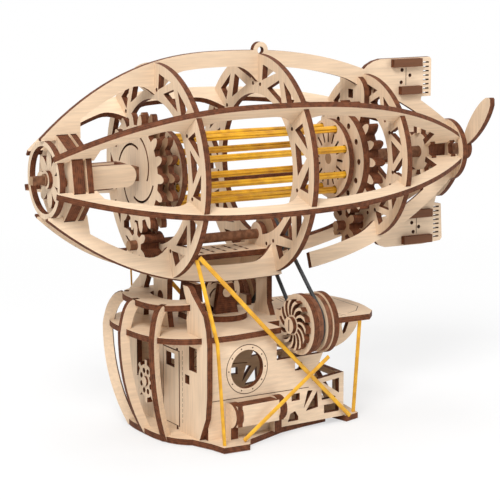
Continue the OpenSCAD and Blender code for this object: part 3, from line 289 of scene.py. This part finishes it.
def rubber(name, colour, light, roughness):
    """Make a rubber material whose colour goes between two tints in noise patches and whose
    surface is a little uneven.
    """
    made = bpy.data.materials.new(name)
    made.use_nodes = True
    tree = made.node_tree
    shader = tree.nodes["Principled BSDF"]
    place = tree.nodes.new("ShaderNodeTexCoord").outputs["Object"]
    patch = noise(tree, place, scale=160.0, detail=3.0)
    tints = []
    for tint in (colour, light):
        tone = tree.nodes.new("ShaderNodeRGB")
        tone.outputs[0].default_value = (*tint, 1)
        tints.append(tone.outputs[0])
    # Noise patches between the two tints; on the yellow rubber these are painted highlight and
    # painted shade.
    share = spread(tree, patch, low=0.35, high=0.65, bottom=0.0, top=1.0)
    tree.links.new(blend_colours(tree, share, *tints), shader.inputs["Base Color"])
    tree.links.new(spread(tree, patch, low=0.3, high=0.7, bottom=roughness - 0.06,
                          top=roughness + 0.08), shader.inputs["Roughness"])
    bump = tree.nodes.new("ShaderNodeBump")
    bump.inputs["Strength"].default_value = 0.2
    bump.inputs["Distance"].default_value = 0.0001
    tree.links.new(noise(tree, place, scale=1500.0, detail=2.0), bump.inputs["Height"])
    tree.links.new(bump.outputs["Normal"], shader.inputs["Normal"])
    return made


# Yellow rubber: the lighter tint is the bands' lit colour and the darker one their shaded colour,
# so its patches are painted highlight and shade spread at random.
yellow_rubber = rubber("yellow_rubber", (0.62, 0.29, 0.01), (0.86, 0.47, 0.02), 0.45)


def strip_tree():
    """Build the geometry tree that lays a band of given width along a curve."""
    tree = bpy.data.node_groups.new("band_along_route", "GeometryNodeTree")
    add = tree.interface.new_socket
    add(name="Route", in_out="INPUT", socket_type="NodeSocketGeometry")
    for label, value in (("Width", 0.001), ("Thickness", 0.001)):
        add(name=label, in_out="INPUT", socket_type="NodeSocketFloat").default_value = value
    add(name="Sides", in_out="INPUT", socket_type="NodeSocketInt").default_value = 12
    add(name="Material", in_out="INPUT", socket_type="NodeSocketMaterial")
    add(name="Band", in_out="OUTPUT", socket_type="NodeSocketGeometry")
    into = tree.nodes.new("NodeGroupInput").outputs
    out = tree.nodes.new("NodeGroupOutput").inputs
    circle = tree.nodes.new("GeometryNodeCurvePrimitiveCircle")
    circle.inputs["Radius"].default_value = 0.5
    tree.links.new(into["Sides"], circle.inputs["Resolution"])
    size = tree.nodes.new("ShaderNodeCombineXYZ")
    tree.links.new(into["Thickness"], size.inputs[0])
    tree.links.new(into["Width"], size.inputs[1])
    oval = tree.nodes.new("GeometryNodeTransform")
    tree.links.new(circle.outputs["Curve"], oval.inputs["Geometry"])
    tree.links.new(size.outputs[0], oval.inputs["Scale"])
    sweep = tree.nodes.new("GeometryNodeCurveToMesh")
    sweep.inputs["Fill Caps"].default_value = True
    tree.links.new(into["Route"], sweep.inputs["Curve"])
    tree.links.new(oval.outputs["Geometry"], sweep.inputs["Profile Curve"])
    real = tree.nodes.new("GeometryNodeRealizeInstances")
    tree.links.new(sweep.outputs["Mesh"], real.inputs["Geometry"])
    coat = tree.nodes.new("GeometryNodeSetMaterial")
    tree.links.new(real.outputs["Geometry"], coat.inputs["Geometry"])
    tree.links.new(into["Material"], coat.inputs["Material"])
    tree.links.new(coat.outputs["Geometry"], out["Band"])
    return tree


band_tree = strip_tree()


def lay_bands(name, routes, width, thickness, material, sides=12, closed=False, level=True):
    """Make one mesh of bands that follow the given routes."""
    path = bpy.data.curves.new(name + "_route", "CURVE")
    path.dimensions = "3D"
    path.twist_mode = "Z_UP" if level else "MINIMUM"
    for route in routes:
        spline = path.splines.new("POLY")
        spline.points.add(len(route) - 1)
        for point, place in zip(spline.points, route):
            point.co = (*place, 1)
        spline.use_cyclic_u = closed
    holder = bpy.data.objects.new(name + "_route", path)
    bpy.context.scene.collection.objects.link(holder)
    modifier = holder.modifiers.new("band", "NODES")
    modifier.node_group = band_tree
    values = {"Width": width, "Thickness": thickness, "Sides": sides, "Material": material}
    for item in band_tree.interface.items_tree:
        if item.item_type == "SOCKET" and item.name in values:
            modifier[item.identifier] = values[item.name]
    view = bpy.context.evaluated_depsgraph_get()
    mesh = bpy.data.meshes.new_from_object(holder.evaluated_get(view))
    bpy.data.objects.remove(holder)
    mesh.name = name
    for face in mesh.polygons:
        face.use_smooth = True
    piece = bpy.data.objects.new(name, mesh)
    bpy.context.scene.collection.objects.link(piece)
    return piece


strand_routes = []
for bundle in range(BUNDLES):
    middle = math.radians(360 / BUNDLES * (bundle + 0.5))
    for strand in range(STRANDS):
        lean = math.radians(360 / STRANDS * strand) + middle
        route = []
        for k in range(BAND_STEPS + 1):
            share = k / BAND_STEPS
            # One and a half waves along the band, shifted from strand to strand.
            wave = 1.5 * share + 0.37 * bundle + 0.3 * strand
            out = BAND_RING + STRAND_RING * math.cos(lean) + SWAY * math.sin(2 * math.pi * wave)
            side = STRAND_RING * math.sin(lean)
            route.append((BAND_ENDS[0] + share * (BAND_ENDS[1] - BAND_ENDS[0]),
                          out * math.cos(middle) - side * math.sin(middle),
                          AXIS + out * math.sin(middle) + side * math.cos(middle)))
        strand_routes.append(route)
strands = lay_bands("band_strands", strand_routes, STRAND_WIDTH, STRAND_WIDTH, yellow_rubber,
                    sides=8, level=False)
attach(strands, "band_motor")
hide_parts("rubber_bands")

# Layshaft gear: three plies of birch plywood with six teeth, pushed onto the
# layshaft under the axis, where the front gear drives it.
finish(ply_across, "layshaft_gear")

# Nacelles: a fan with curved spokes in front of a belt drum on each side, held
# between round bearing plates. The drums are cut from browned sheet.
finish(ply_across, "nacelle_fan_near", "nacelle_fan_far", "nacelle_brackets")
finish(wood("ply_drum", (1, 0, 0), grain=(800, 800, 60), layers=0.6, edge=(0.15, 0.06, 0.03)),
       "nacelle_pulley_near", "nacelle_pulley_far")

# Drive belts: black rubber rings of round section, each running from the pulley
# under the hull round one nacelle's drum.
black_rubber = rubber("black_rubber", (0.016, 0.018, 0.02), (0.032, 0.035, 0.04), 0.5)
# Distance from the middle plane, height, and radius of the belt's middle line.
HULL_WHEEL = (0.0, 0.0965, 0.009)
NACELLE_WHEEL = (0.0406, 0.0565, 0.012)
BELT_WIDTH = 0.002
BELT_STEPS = 24


def belt_route(x, side):
    """Return the middle line of a belt round the hull pulley and one nacelle drum."""
    (y0, z0, r0), (y1, z1, r1) = ((side * y, z, r) for y, z, r in (HULL_WHEEL, NACELLE_WHEEL))
    along = math.atan2(z1 - z0, y1 - y0)
    lean = math.acos((r0 - r1) / math.hypot(y1 - y0, z1 - z0))
    route = []
    for y, z, r, first, sweep in ((y0, z0, r0, along + lean, 2 * (math.pi - lean)),
                                  (y1, z1, r1, along - lean, 2 * lean)):
        for k in range(BELT_STEPS + 1):
            a = first + sweep * k / BELT_STEPS
            route.append((x, y + r * math.cos(a), z + r * math.sin(a)))
    return route


for name, x, side, node in (("drive_belt_near", 0.0065, -1, "belt_near"),
                            ("drive_belt_far", 0.0107, 1, "belt_far")):
    belt = lay_bands(name, [belt_route(x, side)], BELT_WIDTH, BELT_WIDTH, black_rubber,
                     closed=True, level=False)
    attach(belt, "frame")
    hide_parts(node)

# Pillar, strut and spoked wheel: they stand between the hull and the gondola's
# deck, in slots. The wheel turns on its axle over a round base.
finish(ply_across, "front_pillar", "rear_strut")
finish(wood("ply_wheel", (0, 1, 0)), "spoked_wheel")

# Decks and floor: level sheets of birch plywood. The main deck has a line engraved
# round its rear part, and short vent marks beside the nacelles.


def deck_lines(tree):
    """Mask the main deck's vent marks and the line round its rear part."""
    step, slant = 0.0022, 0.002
    vents = [((0.0245 + step * k, side * 0.017), (0.0245 + slant + step * k, side * 0.028))
             for side in (-1, 1) for k in range(5)]
    loop = [(0.039, -0.024), (0.046, -0.021), (0.053, -0.012), (0.053, 0.012),
            (0.046, 0.021), (0.039, 0.024)]
    return lines(tree, flat_point(tree, "X", "Y"), vents + list(zip(loop, loop[1:])))


finish(wood("ply_deck", (0, 0, 1), engraving=deck_lines), "main_deck")
finish(wood("ply_level", (0, 0, 1)), "upper_deck", "floor_plate")

# Cabin: curved bow ribs, a bulkhead with a door, and the helm wheel in front of
# it, all birch plywood in slots. The bulkhead has an engraved row of stitches.
bow_turn = math.radians(34)
finish(wood("ply_bow", (0, 1, 0), second=(math.sin(bow_turn), math.cos(bow_turn), 0),
            third=(-math.sin(bow_turn), math.cos(bow_turn), 0)), "cabin_ribs")


def bulkhead_lines(tree):
    """Mask the upright row of short marks beside the door."""
    y, foot, step, length = -0.0185, 0.008, 0.0027, 0.0015
    stitches = [((y, foot + step * k), (y, foot + length + step * k)) for k in range(14)]
    return lines(tree, flat_point(tree, "Y", "Z"), stitches)


finish(wood("ply_bulkhead", (1, 0, 0), grain=(800, 800, 60), engraving=bulkhead_lines),
       "bulkhead")
finish(ply_across, "cabin_door", "helm_wheel")

# Side panels: one sheet on each side with a round window and, further back, a
# truss. A circle with ten rivet marks is engraved round the window, and a line
# runs under it.
SIDE_START = -0.0515
SIDE_Y = 0.0389
side_turn = math.radians(5.7)
# Places on a panel are its length from the front end, and the height.
PORT = (0.0238, 0.036)
PORT_RING = 0.0124
RIVETS, RIVET_RING, RIVET_RADIUS = 10, 0.011, 0.0004
SEAM = ((0.0, 0.0224), (0.062, 0.0212))


def panel_point(tree):
    """Return the place along a side panel and its height, alike on both panels."""
    split = tree.nodes.new("ShaderNodeSeparateXYZ")
    tree.links.new(tree.nodes.new("ShaderNodeTexCoord").outputs["Object"], split.inputs[0])
    back = calc(tree, "MULTIPLY", calc(tree, "SUBTRACT", split.outputs["X"], SIDE_START),
                math.cos(side_turn))
    inward = calc(tree, "MULTIPLY",
                  calc(tree, "SUBTRACT", SIDE_Y, calc(tree, "ABSOLUTE", split.outputs["Y"])),
                  math.sin(side_turn))
    join = tree.nodes.new("ShaderNodeCombineXYZ")
    tree.links.new(calc(tree, "ADD", back, inward), join.inputs[0])
    tree.links.new(split.outputs["Z"], join.inputs[1])
    return join.outputs[0]


def panel_lines(tree):
    """Mask the circle, the rivet marks and the line on a side panel."""
    point = panel_point(tree)
    off = vector(tree, "SUBTRACT", point, (*PORT, 0))
    away = vector(tree, "LENGTH", off)
    from_ring = calc(tree, "ABSOLUTE", calc(tree, "SUBTRACT", away, PORT_RING))
    ring = calc(tree, "LESS_THAN", from_ring, LINE_HALF_WIDTH)
    split = tree.nodes.new("ShaderNodeSeparateXYZ")
    tree.links.new(off, split.inputs[0])
    part = 2 * math.pi / RIVETS
    angle = calc(tree, "ARCTAN2", split.outputs[1], split.outputs[0])
    nearest = calc(tree, "MULTIPLY", calc(tree, "ROUND", calc(tree, "DIVIDE", angle, part)), part)
    join = tree.nodes.new("ShaderNodeCombineXYZ")
    for k, function in enumerate(("COSINE", "SINE")):
        tree.links.new(calc(tree, "MULTIPLY", calc(tree, function, nearest), RIVET_RING),
                       join.inputs[k])
    from_rivet = vector(tree, "LENGTH", vector(tree, "SUBTRACT", off, join.outputs[0]))
    rivet = calc(tree, "LESS_THAN", from_rivet, RIVET_RADIUS)
    seam = lines(tree, point, [SEAM])
    return calc(tree, "MAXIMUM", calc(tree, "MAXIMUM", ring, rivet), seam)


finish(wood("ply_side", (math.sin(side_turn), math.cos(side_turn), 0),
            second=(-math.sin(side_turn), math.cos(side_turn), 0), engraving=panel_lines),
       "side_panels")

# Tank and rear frame: small plates that stand on the floor beside and behind the
# side panels. The tank has boards between two rounded ends.
TANK_MIDDLE = 0.026
TANK_HALF_LENGTH = 0.0111


def between_tank_ends(tree):
    """Mask the boards of the tank, which face outwards between its two burnt ends."""
    split = tree.nodes.new("ShaderNodeSeparateXYZ")
    tree.links.new(panel_point(tree), split.inputs[0])
    from_middle = calc(tree, "ABSOLUTE", calc(tree, "SUBTRACT", split.outputs[0], TANK_MIDDLE))
    return calc(tree, "LESS_THAN", from_middle, TANK_HALF_LENGTH)


finish(wood("ply_tank", (math.cos(side_turn), math.sin(side_turn), 0),
            second=(-math.sin(side_turn), math.cos(side_turn), 0),
            second_share=between_tank_ends), "floor_tank")
finish(wood("ply_frames", (0, 1, 0), second=(1, 0, 0)), "rear_frame")

# Stays: flat yellow rubber bands that tie the hull and the deck to the gondola's
# floor, and one across each side panel. Their corners are given in millimetres.
STAY_WIDTH = 0.0023
STAY_THICKNESS = 0.00095
STAY_STEPS = 8
STAY_ROUTES = [
    [(-55.8, 36.5, 93.5), (-49.7, 46, 53), (-48.4, 50.5, 3)],
    [(-55.4, 38.8, 95), (-19.5, 41.5, 56), (35.5, 32.2, 3)],
    [(44.5, 27, 51.9), (41, 27, 3.1)],
]
CROSS_START = (-37.5, 50.5, 4.1)
CROSS_END = {-1: (12.8, 47.8, 40), 1: (17.0, 47.8, 40)}
stay_routes = []
for side in (-1, 1):
    for route in STAY_ROUTES + [[CROSS_START, CROSS_END[side]]]:
        corners = [Vector((x, side * y, z)) / 1000 for x, y, z in route]
        points = []
        for first, last in zip(corners, corners[1:]):
            points += [first.lerp(last, k / STAY_STEPS) for k in range(STAY_STEPS)]
        stay_routes.append(points + [corners[-1]])
stay_bands = lay_bands("stay_bands", stay_routes, STAY_WIDTH, STAY_THICKNESS, yellow_rubber)
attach(stay_bands, "frame")
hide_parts("stays")

# Stage: a pale floor that runs far back. It shows white to the camera and still
# takes the model's shadow, which fades out with the distance from the model.
FLOOR_DROP = 0.0005
bpy.ops.mesh.primitive_plane_add(size=30, location=(0, 0, -FLOOR_DROP))
floor = bpy.context.object
floor.name = "stage_floor"
white = bpy.data.materials.new("stage_white")
white.use_nodes = True
tree = white.node_tree
matt = tree.nodes["Principled BSDF"]
matt.inputs["Base Color"].default_value = (0.9, 0.9, 0.9, 1)
matt.inputs["Roughness"].default_value = 1.0
glow = tree.nodes.new("ShaderNodeEmission")


def seen(tree):
    """Return 1 for rays that show the background, straight, mirrored or through glass."""
    path = tree.nodes.new("ShaderNodeLightPath").outputs
    return calc(tree, "MAXIMUM", path["Is Camera Ray"],
                calc(tree, "MAXIMUM", path["Is Glossy Ray"], path["Is Transmission Ray"]))


mix = tree.nodes.new("ShaderNodeMixShader")
far_off = spread(tree, vector(tree, "LENGTH",
                              tree.nodes.new("ShaderNodeTexCoord").outputs["Object"]),
                 low=0.15, high=0.6, bottom=0.6, top=1.0)
tree.links.new(calc(tree, "MULTIPLY", seen(tree), far_off), mix.inputs[0])
tree.links.new(matt.outputs[0], mix.inputs[1])
tree.links.new(glow.outputs[0], mix.inputs[2])
tree.links.new(mix.outputs[0], tree.nodes["Material Output"].inputs["Surface"])
floor.data.materials.append(white)

# Light: white from all round, a large soft lamp from the upper left and two
# weaker ones, all turned towards the middle of the model.
LAMP_AIM = Vector((0, 0, 0.1))
world = bpy.data.worlds.new("studio")
bpy.context.scene.world = world
world.use_nodes = True
tree = world.node_tree
tree.links.new(spread(tree, seen(tree), low=0.0, high=1.0, bottom=0.36, top=1.0),
               tree.nodes["Background"].inputs["Strength"])
tree.nodes["Background"].inputs["Color"].default_value = (1, 1, 1, 1)
for name, place, size, power in (("key_lamp", (-0.9, -1.0, 1.3), 0.6, 25.0),
                                 ("fill_lamp", (1.2, -1.1, 0.7), 1.0, 7.0),
                                 ("top_lamp", (0.1, 0.4, 1.5), 0.9, 8.0)):
    light = bpy.data.lights.new(name, "AREA")
    light.size = size
    light.energy = power
    lamp = bpy.data.objects.new(name, light)
    bpy.context.scene.collection.objects.link(lamp)
    lamp.location = place
    lamp.rotation_mode = "QUATERNION"
    lamp.rotation_quaternion = (Vector(place) - LAMP_AIM).to_track_quat("Z", "Y")

# Camera: a long lens, a little above the model, in front of its nose and to the
# near side.
azimuth, elevation, distance = math.radians(-29.77), math.radians(10.19), 1.0231
aim = Vector((-0.00528, 0, 0.08823))
away = Vector((math.sin(azimuth) * math.cos(elevation),
               -math.cos(azimuth) * math.cos(elevation), math.sin(elevation)))
lens = bpy.data.cameras.new("photo_camera")
lens.sensor_width = 36
lens.lens = 143.9
lens.clip_end = 50
camera = bpy.data.objects.new("photo_camera", lens)
bpy.context.scene.collection.objects.link(camera)
camera.location = aim + away * distance
camera.rotation_mode = "QUATERNION"
camera.rotation_quaternion = away.to_track_quat("Z", "Y")
bpy.context.scene.camera = camera
bpy.context.scene.view_settings.view_transform = "Standard"
